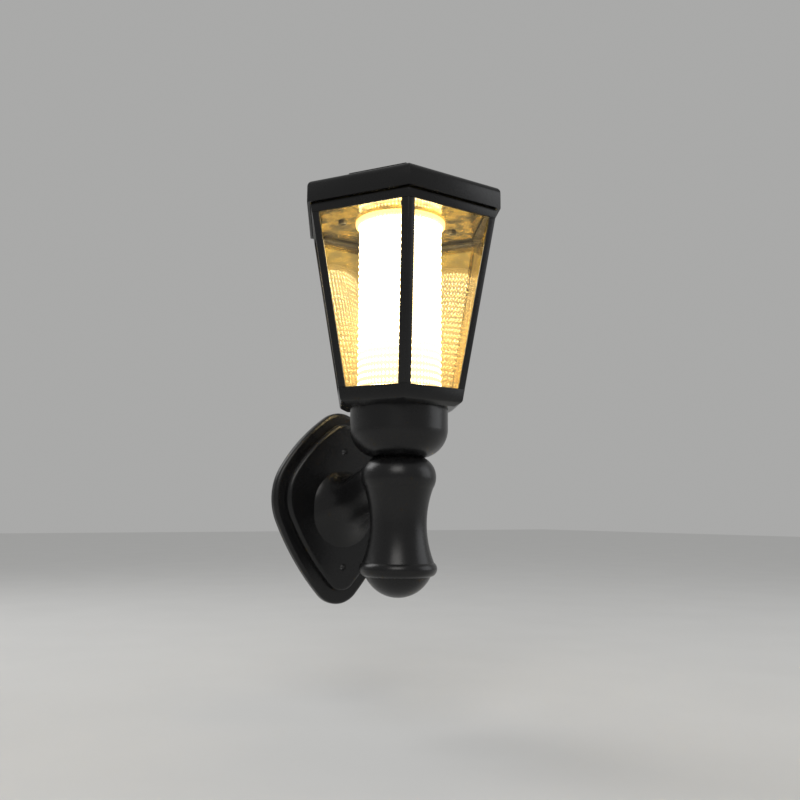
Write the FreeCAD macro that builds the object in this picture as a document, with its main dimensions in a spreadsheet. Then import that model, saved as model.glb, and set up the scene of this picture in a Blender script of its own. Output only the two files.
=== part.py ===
"""Hexagonal garden lantern on a wall bracket, lit by a solar head that lifts off.

Row frame, millimetres: +Z up, the wall is the plane Y = 0 and the lantern stands off it towards -Y.
The origin is the centre of the wall plate's back face. Pieces on the lantern's upright axis are drawn
about that axis with their local zero at the lower edge of the glass.
"""
import os

import FreeCAD, Part
import Sketcher

DOCUMENT = FreeCAD.newDocument("lantern")
SIDES = 6
CLEAR_OF_FLAT = "cos(30)"
BOSS_ANGLES = (150, -10, 240)
TUBE_RINGS = 23

SIZES = {
    # where the lantern stands
    "stand_off": 90.0,
    "glass_foot": 85.0,
    # the tapered hexagonal cage, measured to its outer corners
    "glass_height": 123.0,
    "foot_radius": 52.0,
    "head_radius": 76.0,
    "bar_leg": 5.4,
    "bar_wall": 1.6,
    "pane_thickness": 2.0,
    "pane_lap": 2.6,
    "pane_play": 0.2,
    "pan_depth": 7.0,
    "pan_rim": 9.0,
    "pan_slope": 3.0,
    "pan_round": 3.0,
    "pan_seat_radius": 44.0,
    "ring_height": 6.0,
    "ring_lip": 2.0,
    "ring_lip_width": 7.0,
    "gasket_thickness": 0.8,
    "gasket_width": 4.0,
    "gasket_inset": 1.5,
    # the bowl, the turned post and its finial
    "collar_radius": 36.0,
    "collar_height": 16.0,
    "bowl_height": 19.6,
    "bowl_bulge": 21.5,
    "neck_radius": 18.5,
    "upper_bead_foot_radius": 25.2,
    "upper_bead_height": 22.3,
    "upper_bead_bulge": 15.8,
    "waist_height": 53.1,
    "waist_curve": 74.4,
    "lower_bead_radius": 26.0,
    "lower_bead_height": 10.0,
    "lower_bead_bulge": 5.6,
    "finial_radius": 23.5,
    "finial_height": 15.0,
    "finial_curve": 25.9,
    "finial_bore_depth": 6.0,
    "rod_radius": 4.0,
    "rod_play": 0.2,
    "rod_top": 2.0,
    "rod_end_play": 0.5,
    "washer_radius": 9.0,
    "washer_thickness": 1.5,
    "nut_radius": 7.6,
    "nut_height": 5.0,
    # the arm between plate and post
    "arm_root_radius": 27.0,
    "arm_neck_radius": 17.0,
    "arm_radius": 14.5,
    "arm_straight": 3.5,
    "arm_neck_reach": 13.0,
    "arm_mid_reach": 34.0,
    "arm_end_reach": 62.0,
    "arm_rise": 19.0,
    # the wall plate
    "plate_thickness": 6.0,
    "plate_half_width": 62.5,
    "plate_side_height": 11.0,
    "plate_top": 82.0,
    "plate_foot": 84.0,
    "plate_upper_curve": 140.0,
    "plate_lower_curve": 215.0,
    "plate_tip_round": 22.0,
    "plate_side_round": 46.0,
    "plate_step": 9.0,
    "plate_step_height": 6.0,
    "plate_wall": 6.5,
    "plate_edge_round": 3.0,
    "plate_hollow": 3.0,
    "mount_hole_radius": 2.6,
    "mount_hole_spacing": 92.0,
    "mount_land_radius": 7.0,
    "centre_land_radius": 4.5,
    "arm_screw_radius": 2.5,
    "arm_screw_spacing": 22.0,
    "arm_screw_length": 12.0,
    "arm_screw_head_radius": 4.6,
    "arm_screw_head_height": 2.5,
    # the solar head
    "seat_gap": 0.1,
    "eave_overhang": 2.9,
    "eave_height": 15.0,
    "eave_round": 5.0,
    "roof_wall": 2.0,
    "roof_rise": 10.5,
    "crown_radius": 46.0,
    "crown_height": 4.0,
    "crown_rim": 4.0,
    "panel_depth": 2.5,
    "panel_play": 0.4,
    "panel_proud": 0.3,
    "ceiling_thickness": 1.5,
    "ceiling_play": 0.5,
    "boss_radius": 4.0,
    "boss_circle": 44.0,
    "boss_grip": 0.6,
    "roof_screw_radius": 1.5,
    "roof_screw_length": 8.0,
    "pilot_spare": 1.0,
    "roof_screw_head_radius": 3.2,
    "roof_screw_head_height": 1.8,
    "screw_play": 0.05,
    # the light tube and what lights it
    "tube_radius": 31.0,
    "tube_wall": 2.5,
    "tube_foot": 3.0,
    "ring_pitch": 5.0,
    "ring_depth": 0.8,
    "tube_flange_radius": 33.9,
    "tube_flange_height": 7.0,
    "tube_flange_round": 2.2,
    "spigot_wall": 2.0,
    "spigot_height": 8.0,
    "spigot_play": 0.3,
    "led_board_radius": 15.0,
    "led_board_thickness": 1.6,
    "led_radius": 2.5,
    "led_length": 6.0,
    "led_circle": 8.0,
    # electronics above the ceiling
    "cell_play": 0.6,
    "holder_height": 9.0,
    "holder_wall": 1.5,
    "cell_radius": 7.0,
    "cell_length": 50.0,
    "cell_nub_radius": 2.6,
    "cell_nub_height": 1.2,
    "circuit_length": 40.0,
    "circuit_width": 18.0,
    "circuit_thickness": 1.6,
    "circuit_back": 32.0,
    "circuit_side": 6.0,
    # the switch
    "switch_side": 25.0,
    "switch_back": 42.0,
    "switch_length": 18.0,
    "switch_width": 8.0,
    "switch_height": 5.0,
    "slider_length": 4.0,
    "slider_width": 4.0,
    "slider_drop": 3.0,
    "slider_travel": 4.0,
    "slider_play": 0.3,
}

FLARE = "(Size.head_radius - Size.foot_radius) / Size.glass_height"
LIP_TOP = "(Size.glass_height + Size.ring_height)"
EAVE = f"(Size.foot_radius + {LIP_TOP} * {FLARE} + Size.eave_overhang)"
SEAT = f"({LIP_TOP} + Size.gasket_thickness + Size.seat_gap)"
EAVE_TOP = f"({SEAT} + Size.eave_height)"
CROWN_FOOT = f"({EAVE_TOP} + Size.roof_rise)"
CROWN_TOP = f"({CROWN_FOOT} + Size.crown_height)"
PAN_FOOT = "(Size.pan_rim + Size.pan_slope)"
BOWL_TOP = f"({PAN_FOOT} + Size.collar_height)"
NECK = f"({BOWL_TOP} + Size.bowl_height)"
BEAD_FOOT = f"({NECK} + Size.upper_bead_height)"
WAIST_FOOT = f"({BEAD_FOOT} + Size.waist_height)"
POST_FOOT = f"({WAIST_FOOT} + Size.lower_bead_height)"
CELL_ROOM_LENGTH = "(Size.cell_length + 2 * Size.cell_nub_height + 4 * Size.cell_play)"
CELL_ROOM_WIDTH = "(4 * Size.cell_radius + 3 * Size.cell_play)"


def make_sheet():
    """Writes the driving dimensions into the spreadsheet that every expression reads."""
    sheet = DOCUMENT.addObject("Spreadsheet::Sheet", "Size")
    for row, (alias, value) in enumerate(SIZES.items(), start=1):
        sheet.set(f"A{row}", alias)
        sheet.set(f"B{row}", str(value))
        sheet.setAlias(f"B{row}", alias)
    DOCUMENT.recompute()
    return sheet


SHEET = make_sheet()


def number(expression):
    """The present value of an expression on the sheet, in millimetres or degrees."""
    return float(SHEET.evalExpression(expression))


def cage_radius(height):
    """Outer corner radius of the cage at a height above the lower edge of the glass."""
    return f"(Size.foot_radius + ({height}) * {FLARE})"


def inset_radius(radius, depth):
    """Corner radius of the hexagon whose flats lie a depth inside those of another."""
    return f"({radius} - ({depth}) / {CLEAR_OF_FLAT})"


# ---- bodies, sketches and features -------------------------------------------------------------


def new_body(label, x="0", y="-Size.stand_off", z="Size.glass_foot", turn=0.0):
    """A body placed by expressions, on the lantern's axis unless told otherwise."""
    body = DOCUMENT.addObject("PartDesign::Body", label)
    body.Label = label
    body.Placement = FreeCAD.Placement(
        FreeCAD.Vector(number(x), number(y), number(z)),
        FreeCAD.Rotation(FreeCAD.Vector(0, 0, 1), turn),
    )
    for axis, expression in zip("xyz", (x, y, z)):
        body.setExpression(f"Placement.Base.{axis}", expression)
    return body


def new_sketch(body, name, plane="XY_Plane", offset="0"):
    """A sketch on one of the body's own planes, moved along the plane's normal."""
    sketch = body.newObject("Sketcher::SketchObject", name)
    support = [item for item in body.Origin.OriginFeatures if item.Role == plane][0]
    sketch.AttachmentSupport = [(support, "")]
    sketch.MapMode = "FlatFace"
    sketch.setExpression("AttachmentOffset.Base.z", offset)
    return sketch


def pin_point(sketch, geometry, end, x, y):
    """Ties a vertex to the sketch's origin by two expressions."""
    for kind, expression in (("DistanceX", x), ("DistanceY", y)):
        index = sketch.addConstraint(
            Sketcher.Constraint(kind, -1, 1, geometry, end, number(expression))
        )
        sketch.setExpression(f"Constraints[{index}]", expression)


def arc_middle(start, end, radius, side):
    """The point halfway along an arc; side is +1 for a bulge left of the way from start to end."""
    chord = end - start
    half = chord.Length / 2.0
    rise = radius - (radius * radius - half * half) ** 0.5
    left = FreeCAD.Vector(-chord.y, chord.x, 0).normalize()
    return (start + end) * 0.5 + left * rise * side


def outline(sketch, corners):
    """A closed outline through corners (x, y); (x, y, radius, side) makes the edge to that corner an arc."""
    places = [FreeCAD.Vector(number(c[0]), number(c[1]), 0) for c in corners]
    first = sketch.GeometryCount
    ends = []
    for index, corner in enumerate(corners):
        start, end = places[index - 1], places[index]
        if len(corner) == 4:
            radius, side = corner[2], corner[3]
            middle = arc_middle(start, end, number(radius), side)
            edge = sketch.addGeometry(Part.Arc(start, middle, end), False)
            rule = sketch.addConstraint(Sketcher.Constraint("Radius", edge, number(radius)))
            sketch.setExpression(f"Constraints[{rule}]", radius)
            ends.append((edge, 1, 2) if side < 0 else (edge, 2, 1))
        else:
            edge = sketch.addGeometry(Part.LineSegment(start, end), False)
            ends.append((edge, 1, 2))
    for index, (edge, _, finish) in enumerate(ends):
        following = ends[(index + 1) % len(ends)]
        sketch.addConstraint(
            Sketcher.Constraint("Coincident", edge, finish, following[0], following[1])
        )
        pin_point(sketch, edge, finish, corners[index][0], corners[index][1])
    return first


def hexagon(sketch, radius):
    """A regular hexagon about the origin with two corners on the sketch's X axis."""
    outline(sketch, [(f"{radius} * cos({60 * k})", f"{radius} * sin({60 * k})") for k in range(SIDES)])


def circle(sketch, radius, x="0", y="0"):
    """A circle whose centre and radius follow expressions."""
    ring = sketch.addGeometry(
        Part.Circle(FreeCAD.Vector(number(x), number(y), 0), FreeCAD.Vector(0, 0, 1), number(radius)),
        False,
    )
    rule = sketch.addConstraint(Sketcher.Constraint("Radius", ring, number(radius)))
    sketch.setExpression(f"Constraints[{rule}]", radius)
    pin_point(sketch, ring, 3, x, y)


def rectangle(sketch, length, width, x="0", y="0"):
    """A rectangle with its centre at (x, y)."""
    outline(
        sketch,
        [
            (f"{x} + {sx} * ({length}) / 2", f"{y} + {sy} * ({width}) / 2")
            for sx, sy in ((-1, -1), (1, -1), (1, 1), (-1, 1))
        ],
    )


def long_round(sketch, radius, straight, level):
    """An upright slot shape: two half circles joined by straight sides of half length straight."""
    outline(
        sketch,
        [
            (f"-{radius}", f"{level} + {straight}", f"{radius} * 1.00001", -1),
            (f"-{radius}", f"{level} - {straight}"),
            (radius, f"{level} - {straight}", f"{radius} * 1.00001", -1),
            (radius, f"{level} + {straight}"),
        ],
    )


def loft(body, name, sketches, cut=False, ruled=True):
    """A loft through sketches, added to the body or cut from it."""
    kind = "PartDesign::SubtractiveLoft" if cut else "PartDesign::AdditiveLoft"
    feature = body.newObject(kind, name)
    feature.Profile = sketches[0]
    feature.Sections = sketches[1:]
    feature.Ruled = ruled
    body.Tip = feature
    return feature


def frustum(body, name, low, low_height, high, high_height, cut=False):
    """A hexagonal frustum between two heights, added or cut."""
    foot = new_sketch(body, f"{name}_foot", offset=low_height)
    hexagon(foot, low)
    head = new_sketch(body, f"{name}_head", offset=high_height)
    hexagon(head, high)
    return loft(body, name, [foot, head], cut)


def pad(body, name, sketch, length, cut=False, flip=False):
    """A pad or, with cut, a pocket of a sketch; flip turns the way it runs."""
    feature = body.newObject("PartDesign::Pocket" if cut else "PartDesign::Pad", name)
    feature.Profile = sketch
    feature.setExpression("Length", length)
    feature.Reversed = flip
    body.Tip = feature
    return feature


def disc(body, name, radius, foot, height, bore=None, x="0", y="0"):
    """A round pad from a height upwards, with a bore if one is named."""
    sketch = new_sketch(body, f"{name}_outline", offset=foot)
    circle(sketch, radius, x, y)
    if bore:
        circle(sketch, bore, x, y)
    return pad(body, name, sketch, height)


def hole(body, name, radius, foot, height, x="0", y="0"):
    """A round cut from a height upwards."""
    sketch = new_sketch(body, f"{name}_outline", offset=foot)
    circle(sketch, radius, x, y)
    return pad(body, name, sketch, height, cut=True, flip=True)


def turned(body, name, corners):
    """A full revolution of a profile (radius, height) about the body's Z axis."""
    sketch = new_sketch(body, f"{name}_profile", plane="XZ_Plane")
    outline(sketch, corners)
    feature = body.newObject("PartDesign::Revolution", name)
    feature.Profile = sketch
    feature.ReferenceAxis = (sketch, ["V_Axis"])
    feature.Angle = 360
    body.Tip = feature
    return feature


def round_edges(body, name, radius, chosen):
    """A fillet on the edges of the body's tip that a test chooses."""
    DOCUMENT.recompute()
    tip = body.Tip
    edges = [f"Edge{k}" for k, edge in enumerate(tip.Shape.Edges, start=1) if chosen(edge)]
    feature = body.newObject("PartDesign::Fillet", name)
    feature.Base = (tip, edges)
    feature.setExpression("Radius", radius)
    body.Tip = feature
    return feature


# ---- the cage: pan, bars, panes, ring and gasket -------------------------------------------------


def base_pan():
    """Hexagonal tray: its rim carries the bars, its floor the panes, its centre the tie rod."""
    body = new_body("base_pan")
    frustum(body, "rim", cage_radius("-Size.pan_rim"), "-Size.pan_rim", cage_radius("0"), "0")
    frustum(
        body, "underside", "Size.pan_seat_radius", f"-{PAN_FOOT}",
        cage_radius("-Size.pan_rim"), "-Size.pan_rim",
    )
    rim_foot = -number("Size.pan_rim")
    round_edges(
        body, "rim_round", "Size.pan_round",
        lambda edge: all(abs(v.Point.z - rim_foot) < 0.01 for v in edge.Vertexes),
    )
    frustum(
        body, "tray", inset_radius(cage_radius("-Size.pan_depth"), "Size.bar_wall"), "-Size.pan_depth",
        inset_radius(cage_radius("0"), "Size.bar_wall"), "0", cut=True,
    )
    hole(body, "rod_hole", "Size.rod_radius + Size.rod_play", f"-{PAN_FOOT}", PAN_FOOT)
    return body


def bar_section(body, name, height):
    """The folded section of a corner bar: two legs that follow the flats on either side of a corner."""
    outer = cage_radius(height)
    sketch = new_sketch(body, name, offset=height)
    leg_x, leg_y = "Size.bar_leg * cos(60)", "Size.bar_leg * sin(60)"
    wall_x, wall_y = "Size.bar_wall * cos(30)", "Size.bar_wall * sin(30)"
    outline(
        sketch,
        [
            (f"{outer} - {leg_x}", f"-{leg_y}"),
            (outer, "0"),
            (f"{outer} - {leg_x}", leg_y),
            (f"{outer} - {leg_x} - {wall_x}", f"{leg_y} - {wall_y}"),
            (inset_radius(outer, "Size.bar_wall"), "0"),
            (f"{outer} - {leg_x} - {wall_x}", f"-{leg_y} + {wall_y}"),
        ],
    )
    return sketch


def corner_bar(index):
    """One of the six folded bars, leaning with the taper of the cage."""
    body = new_body(f"corner_bar_{index + 1}", turn=60.0 * index)
    loft(body, "bar", [bar_section(body, "bar_foot", "0"), bar_section(body, "bar_head", "Size.glass_height")])
    return body


def pane_section(body, name, height):
    """A pane's level section behind the bars, on the flat that faces -Y."""
    outer = cage_radius(height)
    face = f"(-{outer} * {CLEAR_OF_FLAT} + Size.bar_wall + Size.pane_play)"
    half = f"({outer} / 2 - Size.pane_lap)"
    sketch = new_sketch(body, name, offset=height)
    outline(
        sketch,
        [
            (f"-{half}", face),
            (half, face),
            (half, f"{face} + Size.pane_thickness"),
            (f"-{half}", f"{face} + Size.pane_thickness"),
        ],
    )
    return sketch


def pane(index):
    """One of the six clear panes, standing in the tray and held under the ring's lip."""
    body = new_body(f"pane_{index + 1}", turn=60.0 * index)
    head = "Size.glass_height + Size.ring_height - Size.ring_lip"
    loft(body, "sheet", [pane_section(body, "foot", "-Size.pan_depth"), pane_section(body, "head", head)])
    return body


def top_ring():
    """Ring that joins the bars' heads; its lip keeps the panes down and carries the gasket."""
    body = new_body("top_ring")
    lip_foot = f"({LIP_TOP} - Size.ring_lip)"
    frustum(body, "band", cage_radius("Size.glass_height"), "Size.glass_height", cage_radius(LIP_TOP), LIP_TOP)
    frustum(
        body, "pane_room", inset_radius(cage_radius("Size.glass_height"), "Size.bar_wall"), "Size.glass_height",
        inset_radius(cage_radius(lip_foot), "Size.bar_wall"), lip_foot, cut=True,
    )
    mouth = inset_radius(cage_radius(LIP_TOP), "Size.ring_lip_width")
    frustum(body, "mouth", mouth, lip_foot, mouth, LIP_TOP, cut=True)
    return body


def head_gasket():
    """Flat rubber ring on the lip, under the solar head."""
    body = new_body("head_gasket")
    outer = inset_radius(cage_radius(LIP_TOP), "Size.gasket_inset")
    sketch = new_sketch(body, "ring", offset=LIP_TOP)
    hexagon(sketch, outer)
    hexagon(sketch, inset_radius(outer, "Size.gasket_width"))
    pad(body, "gasket", sketch, "Size.gasket_thickness")
    return body


# ---- bowl, post, finial and the rod through them ---------------------------------------------------


def bowl():
    """Turned bowl under the pan: a straight collar over a rounded underside."""
    body = new_body("bowl")
    bore = "Size.rod_radius + Size.rod_play"
    turned(
        body, "turning",
        [
            (bore, f"-{PAN_FOOT}"),
            (bore, f"-{NECK}"),
            ("Size.neck_radius", f"-{NECK}"),
            ("Size.collar_radius", f"-{BOWL_TOP}", "Size.bowl_bulge", -1),
            ("Size.collar_radius", f"-{PAN_FOOT}"),
        ],
    )
    return body


def bracket_arm():
    """Turned post with two beads, and the trumpet arm that carries it off the wall plate."""
    body = new_body("bracket_arm")
    turned(
        body, "post",
        [
            ("0", f"-{NECK}"),
            ("0", f"-{POST_FOOT}"),
            ("Size.finial_radius", f"-{POST_FOOT}"),
            ("Size.lower_bead_radius", f"-{WAIST_FOOT}", "Size.lower_bead_bulge", -1),
            ("Size.upper_bead_foot_radius", f"-{BEAD_FOOT}", "Size.waist_curve", 1),
            ("Size.neck_radius", f"-{NECK}", "Size.upper_bead_bulge", -1),
        ],
    )
    root = "Size.stand_off - Size.plate_thickness - Size.plate_step_height"
    stations = [
        ("root", root, "Size.arm_root_radius", "0"),
        ("neck", f"{root} - Size.arm_neck_reach", "Size.arm_neck_radius", "Size.arm_rise * 0.3"),
        ("middle", f"{root} - Size.arm_mid_reach", "Size.arm_radius", "Size.arm_rise * 0.7"),
        ("end", f"{root} - Size.arm_end_reach", "Size.arm_radius", "Size.arm_rise"),
    ]
    sections = []
    for name, reach, radius, rise in stations:
        sketch = new_sketch(body, f"arm_{name}", plane="XZ_Plane", offset=f"-({reach})")
        long_round(sketch, radius, "Size.arm_straight", f"{rise} - Size.glass_foot")
        sections.append(sketch)
    loft(body, "arm", sections, ruled=False)
    hole(body, "rod_bore", "Size.rod_radius + Size.rod_play", f"-{POST_FOOT}", f"{POST_FOOT} - {NECK}")
    for name, side in (("upper", 1), ("lower", -1)):
        sketch = new_sketch(body, f"{name}_screw_place", plane="XZ_Plane", offset=f"-({root})")
        circle(sketch, "Size.arm_screw_radius", "0", f"{side} * Size.arm_screw_spacing / 2 - Size.glass_foot")
        pad(body, f"{name}_screw_bore", sketch, "Size.arm_screw_length", cut=True, flip=True)
    return body


def finial():
    """Domed nut that closes the foot of the post and takes the tie rod's lower end."""
    body = new_body("finial")
    bore = "Size.rod_radius + Size.rod_play"
    tip = f"({POST_FOOT} + Size.finial_height)"
    turned(
        body, "dome",
        [
            ("0", f"-{POST_FOOT} - Size.finial_bore_depth"),
            ("0", f"-{tip}"),
            ("Size.finial_radius", f"-{POST_FOOT}", "Size.finial_curve", -1),
            (bore, f"-{POST_FOOT}"),
            (bore, f"-{POST_FOOT} - Size.finial_bore_depth"),
        ],
    )
    return body


def tie_rod():
    """Threaded rod that clamps pan, bowl, post and finial together."""
    body = new_body("tie_rod")
    foot = f"({POST_FOOT} + Size.finial_bore_depth - Size.rod_end_play)"
    disc(body, "rod", "Size.rod_radius", f"-{foot}", f"{foot} + Size.rod_top")
    return body


def rod_washer():
    """Washer on the floor of the tray."""
    body = new_body("rod_washer")
    disc(
        body, "washer", "Size.washer_radius", "-Size.pan_depth", "Size.washer_thickness",
        bore="Size.rod_radius + Size.rod_play",
    )
    return body


def rod_nut():
    """Hexagon nut on the washer."""
    body = new_body("rod_nut")
    sketch = new_sketch(body, "nut_outline", offset="-Size.pan_depth + Size.washer_thickness")
    hexagon(sketch, "Size.nut_radius")
    circle(sketch, "Size.rod_radius + Size.screw_play")
    pad(body, "nut", sketch, "Size.nut_height")
    return body


# ---- the wall plate and its screws -------------------------------------------------------------------


def plate_outline(sketch, inset):
    """The leaf outline of the wall plate, drawn in by an inset: two flat tips and two rounded sides."""
    side = f"(Size.plate_half_width - {inset})"
    top = f"(Size.plate_top - 1.25 * {inset})"
    foot = f"(Size.plate_foot - 1.6 * {inset})"
    upper = f"(Size.plate_upper_curve - {inset})"
    lower = f"(Size.plate_lower_curve - {inset})"
    outline(
        sketch,
        [
            ("0", top, upper, -1),
            (f"-{side}", "Size.plate_side_height", upper, -1),
            ("0", f"-{foot}", lower, -1),
            (side, "Size.plate_side_height", lower, -1),
        ],
    )


def is_upright_edge(places):
    """A test for straight edges along Y that pass through one of the places (x, z)."""

    def chosen(edge):
        ends = [vertex.Point for vertex in edge.Vertexes]
        if len(ends) != 2 or abs(ends[0].x - ends[1].x) > 0.01 or abs(ends[0].z - ends[1].z) > 0.01:
            return False
        return any(abs(ends[0].x - x) < 0.5 and abs(ends[0].z - z) < 0.5 for x, z in places)

    return chosen


def is_front_edge(depth):
    """A test for edges that lie wholly in the plane at a depth in front of the wall."""
    level = -number(depth)
    return lambda edge: all(abs(vertex.Point.y - level) < 0.01 for vertex in edge.Vertexes)


def soften_corners(body, name, inset):
    """Rounds the tips and the sides of the leaf outline."""
    side = number(f"Size.plate_half_width - {inset}")
    level = number("Size.plate_side_height")
    top = number(f"Size.plate_top - 1.25 * {inset}")
    foot = number(f"Size.plate_foot - 1.6 * {inset}")
    tips = is_upright_edge([(0, top), (0, -foot)])
    sides = is_upright_edge([(side, level), (-side, level)])
    round_edges(body, f"{name}_tips", f"Size.plate_tip_round - {inset}", tips)
    round_edges(body, f"{name}_sides", f"Size.plate_side_round - {inset}", sides)


def wall_plate():
    """Leaf-shaped moulded plate with a stepped edge, hollow behind, with two screw lands."""
    body = new_body("wall_plate", "0", "0", "0")
    sketch = new_sketch(body, "leaf", plane="XZ_Plane")
    plate_outline(sketch, "0")
    pad(body, "flange", sketch, "Size.plate_thickness")
    soften_corners(body, "leaf", "0")
    round_edges(body, "flange_edge", "Size.plate_edge_round", is_front_edge("Size.plate_thickness"))
    raised = new_sketch(body, "raised_leaf", plane="XZ_Plane", offset="Size.plate_thickness")
    plate_outline(raised, "Size.plate_step")
    pad(body, "field", raised, "Size.plate_step_height")
    soften_corners(body, "field", "Size.plate_step")
    front = "Size.plate_thickness + Size.plate_step_height"
    round_edges(body, "field_edge", "Size.plate_edge_round", is_front_edge(front))
    hollow = new_sketch(body, "hollow_outline", plane="XZ_Plane")
    plate_outline(hollow, "(Size.plate_step + Size.plate_wall)")
    for x, y in (("0", "Size.mount_hole_spacing / 2"), ("0", "-Size.mount_hole_spacing / 2")):
        circle(hollow, "Size.mount_land_radius", x, y)
    circle(hollow, "Size.centre_land_radius")
    pad(body, "hollow", hollow, f"{front} - Size.plate_hollow", cut=True, flip=True)
    holes = new_sketch(body, "mount_holes", plane="XZ_Plane")
    for x, y in (("0", "Size.mount_hole_spacing / 2"), ("0", "-Size.mount_hole_spacing / 2")):
        circle(holes, "Size.mount_hole_radius", x, y)
    for side in (1, -1):
        circle(holes, "Size.arm_screw_radius + Size.screw_play", "0", f"{side} * Size.arm_screw_spacing / 2")
    pad(body, "through_holes", holes, front, cut=True, flip=True)
    return body


def arm_screws():
    """Two screws from behind the plate into the arm's root."""
    sheet_front = "Size.plate_thickness + Size.plate_step_height - Size.plate_hollow"
    body = new_body("arm_screws", "0", "0", "0")
    heads = new_sketch(body, "heads", plane="XZ_Plane", offset=f"{sheet_front} - Size.arm_screw_head_height")
    shanks = new_sketch(body, "shanks", plane="XZ_Plane", offset=sheet_front)
    for side in (1, -1):
        height = f"{side} * Size.arm_screw_spacing / 2"
        circle(heads, "Size.arm_screw_head_radius", "0", height)
        circle(shanks, "Size.arm_screw_radius - Size.screw_play", "0", height)
    pad(body, "head", heads, "Size.arm_screw_head_height")
    pad(body, "shank", shanks, "Size.arm_screw_length - Size.pilot_spare")
    return body


# ---- the solar head ------------------------------------------------------------------------------------


def boss_places():
    """Where the three ceiling screws stand on their circle; the third is under the crown."""
    return [(f"Size.boss_circle * cos({a})", f"Size.boss_circle * sin({a})") for a in BOSS_ANGLES]


def boss_height(angle):
    """A boss's height above the ceiling plate, so that its head runs into the slope or the crown above it."""
    off_flat = (angle % 60) - 30
    reach = f"(Size.boss_circle * cos({off_flat}) + Size.boss_radius)"
    eave_flat, crown_flat = f"({EAVE} * {CLEAR_OF_FLAT})", f"(Size.crown_radius * {CLEAR_OF_FLAT})"
    slope = f"(Size.roof_rise * ({eave_flat} - {reach}) / ({eave_flat} - {crown_flat}))"
    roof = f"(Size.eave_height + min({slope}; Size.roof_rise))"
    return f"{roof} - Size.boss_grip - Size.ceiling_thickness"


def roof_shell():
    """Hexagonal roof: an upright eave band, a low slope and a crown that holds the solar panel."""
    body = new_body("roof_shell")
    frustum(body, "eave", EAVE, SEAT, EAVE, EAVE_TOP)
    frustum(body, "slope", EAVE, EAVE_TOP, "Size.crown_radius", CROWN_FOOT)
    frustum(body, "crown", "Size.crown_radius", CROWN_FOOT, "Size.crown_radius", CROWN_TOP)
    eave = number(EAVE_TOP)
    round_edges(
        body, "eave_round", "Size.eave_round",
        lambda edge: all(abs(v.Point.z - eave) < 0.01 for v in edge.Vertexes),
    )
    inner = inset_radius(EAVE, "Size.roof_wall")
    frustum(body, "eave_hollow", inner, SEAT, inner, f"{EAVE_TOP} - Size.roof_wall", cut=True)
    frustum(
        body, "slope_hollow", inner, f"{EAVE_TOP} - Size.roof_wall",
        inset_radius("Size.crown_radius", "Size.roof_wall"), f"{CROWN_FOOT} - Size.roof_wall", cut=True,
    )
    recess = inset_radius("Size.crown_radius", "Size.crown_rim")
    frustum(body, "panel_recess", recess, f"{CROWN_TOP} - Size.panel_depth", recess, CROWN_TOP, cut=True)
    foot = f"{SEAT} + Size.ceiling_thickness"
    pilot = "Size.roof_screw_length + Size.pilot_spare"
    for k, (x, y) in enumerate(boss_places()):
        disc(body, f"boss_{k}", "Size.boss_radius", foot, boss_height(BOSS_ANGLES[k]), x=x, y=y)
        hole(body, f"pilot_{k}", "Size.roof_screw_radius", foot, pilot, x=x, y=y)
    return body


def solar_panel():
    """Laminated cell panel in the crown's recess."""
    body = new_body("solar_panel")
    sketch = new_sketch(body, "panel_outline", offset=f"{CROWN_TOP} - Size.panel_depth")
    hexagon(sketch, inset_radius("Size.crown_radius", "Size.crown_rim + Size.panel_play"))
    pad(body, "panel", sketch, "Size.panel_depth + Size.panel_proud")
    return body


def ceiling_plate():
    """Reflecting plate that closes the roof from below, with the spigot that the tube pushes onto."""
    body = new_body("ceiling_plate")
    sketch = new_sketch(body, "plate_outline", offset=SEAT)
    hexagon(sketch, inset_radius(EAVE, "Size.roof_wall + Size.ceiling_play"))
    for x, y in boss_places():
        circle(sketch, "Size.roof_screw_radius + Size.screw_play", x, y)
    rectangle(
        sketch, "(Size.slider_length + Size.slider_travel + 2 * Size.slider_play)",
        "(Size.slider_width + 2 * Size.slider_play)",
        "Size.switch_side + Size.slider_travel / 2", "Size.switch_back",
    )
    pad(body, "plate", sketch, "Size.ceiling_thickness")
    outer = "Size.tube_radius - Size.tube_wall - Size.spigot_play"
    ring = new_sketch(body, "spigot_outline", offset=f"{SEAT} - Size.spigot_height")
    circle(ring, outer)
    circle(ring, f"{outer} - Size.spigot_wall")
    pad(body, "spigot", ring, "Size.spigot_height")
    return body


def ceiling_screws():
    """Three screws that hold the ceiling plate to the roof's bosses."""
    body = new_body("ceiling_screws")
    heads = new_sketch(body, "heads", offset=f"{SEAT} - Size.roof_screw_head_height")
    shanks = new_sketch(body, "shanks", offset=SEAT)
    for x, y in boss_places():
        circle(heads, "Size.roof_screw_head_radius", x, y)
        circle(shanks, "Size.roof_screw_radius - Size.screw_play", x, y)
    pad(body, "head", heads, "Size.roof_screw_head_height")
    pad(body, "shank", shanks, "Size.roof_screw_length")
    return body


def ring_corners():
    """Profile corners of the prism rings, from the tube's foot up: a groove, then a ridge, for each ring."""
    corners = []
    for ring in range(TUBE_RINGS):
        corners.append(("Size.tube_radius - Size.ring_depth", f"Size.tube_foot + {ring} * Size.ring_pitch"))
        corners.append(("Size.tube_radius", f"Size.tube_foot + {ring + 0.5} * Size.ring_pitch"))
    corners.append(("Size.tube_radius - Size.ring_depth", f"Size.tube_foot + {TUBE_RINGS} * Size.ring_pitch"))
    return corners


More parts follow.
